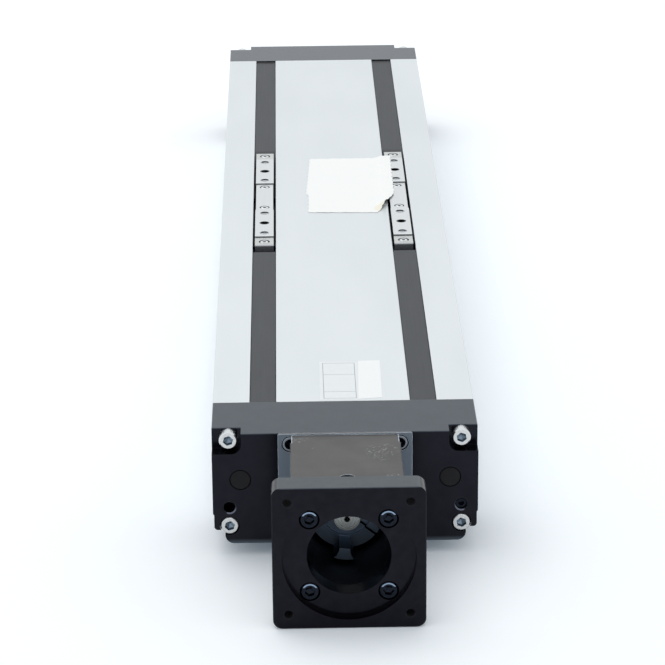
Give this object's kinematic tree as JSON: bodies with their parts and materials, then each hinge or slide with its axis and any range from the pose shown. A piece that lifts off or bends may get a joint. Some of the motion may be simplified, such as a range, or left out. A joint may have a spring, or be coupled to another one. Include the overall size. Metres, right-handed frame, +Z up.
{
  "type": "linear module",
  "caption": "Ball screw linear module: an extruded aluminium body with a carriage that shows as two slotted bars, sealing strips, end blocks and a motor mount flange.",
  "frame": {"origin": "centre of the profile's bottom face", "axes": "+Y along the travel, away from the motor end; +Z up, out of the slotted top"},
  "size_m": [0.148, 0.8785, 0.08],
  "materials": {
    "silver_anodised": "matt silver anodised extrusion",
    "dark_anodised": "dark grey anodised, fine milled",
    "black_anodised": "black anodised, fine turned and milled",
    "raw_aluminium": "bare machined aluminium",
    "bright_aluminium": "bright milled aluminium",
    "grey_strip": "satin dark grey polyurethane",
    "ground_steel": "hardened and ground",
    "plain_steel": "machined steel",
    "zinc_screws": "bright zinc plated",
    "black_screws": "black oxide",
    "black_plastic": "moulded black plastic",
    "buffer_rubber": "moulded rubber"
  },
  "bodies": {
    "root": {"main_profile": "silver_anodised", "cover_plate": "silver_anodised", "drive_end_block": "dark_anodised", "idle_end_block": "dark_anodised", "left_sealing_strip": "grey_strip", "right_sealing_strip": "grey_strip", "strip_clamps": "bright_aluminium", "strip_clamp_screws": "zinc_screws", "left_guide_rail": "ground_steel", "right_guide_rail": "ground_steel", "motor_mount_housing": "raw_aluminium", "motor_mount_flange": "black_anodised", "motor_mount_screws": "black_screws", "motor_flange_screws": "black_screws", "drive_end_screws": "zinc_screws", "idle_end_screws": "zinc_screws", "cover_plate_screws": "black_screws", "drive_end_plugs": "black_plastic", "lube_port_screw": "black_screws", "fixed_bearing_outer_ring": "ground_steel", "bearing_retainer": "plain_steel", "floating_bearing_outer_ring": "ground_steel", "idle_end_cover": "black_anodised", "idle_end_cover_screws": "black_screws", "end_bumpers": "buffer_rubber", "reference_switch": "black_plastic", "limit_switch": "black_plastic"},
    "carriage": {"drive_carriage": "silver_anodised", "idle_carriage": "silver_anodised", "left_link_plate": "silver_anodised", "right_link_plate": "silver_anodised", "link_plate_screws": "zinc_screws", "front_left_strip_guide": "bright_aluminium", "front_right_strip_guide": "bright_aluminium", "rear_left_strip_guide": "bright_aluminium", "rear_right_strip_guide": "bright_aluminium", "strip_guide_screws": "zinc_screws", "front_left_runner_block": "plain_steel", "front_right_runner_block": "plain_steel", "rear_left_runner_block": "plain_steel", "rear_right_runner_block": "plain_steel", "runner_end_caps": "black_plastic", "runner_screws": "black_screws", "ball_nut": "ground_steel", "ball_nut_screws": "black_screws"},
    "screw": {"ball_screw": "ground_steel", "fixed_bearing_inner_ring": "ground_steel", "lock_nut": "plain_steel", "floating_bearing_inner_ring": "ground_steel", "retaining_ring": "plain_steel", "coupling_hub": "raw_aluminium", "coupling_clamp_screw": "black_screws"}
  },
  "joints": [
    {"name": "carriage_slide", "type": "slide", "parent": "root", "child": "carriage", "axis": [0, 1, 0], "range_m": [-0.245, 0.225], "deforming": ["left_sealing_strip", "right_sealing_strip"]},
    {"name": "screw_spin", "type": "hinge", "parent": "root", "child": "screw", "pos_m": [0, 0, 0.032], "axis": [0, 1, 0], "range_deg": [-4051, 4411]}
  ],
  "couplings": [
    {"joint": "screw_spin", "follows": "carriage_slide", "rad_per_m": -314.16}
  ]
}
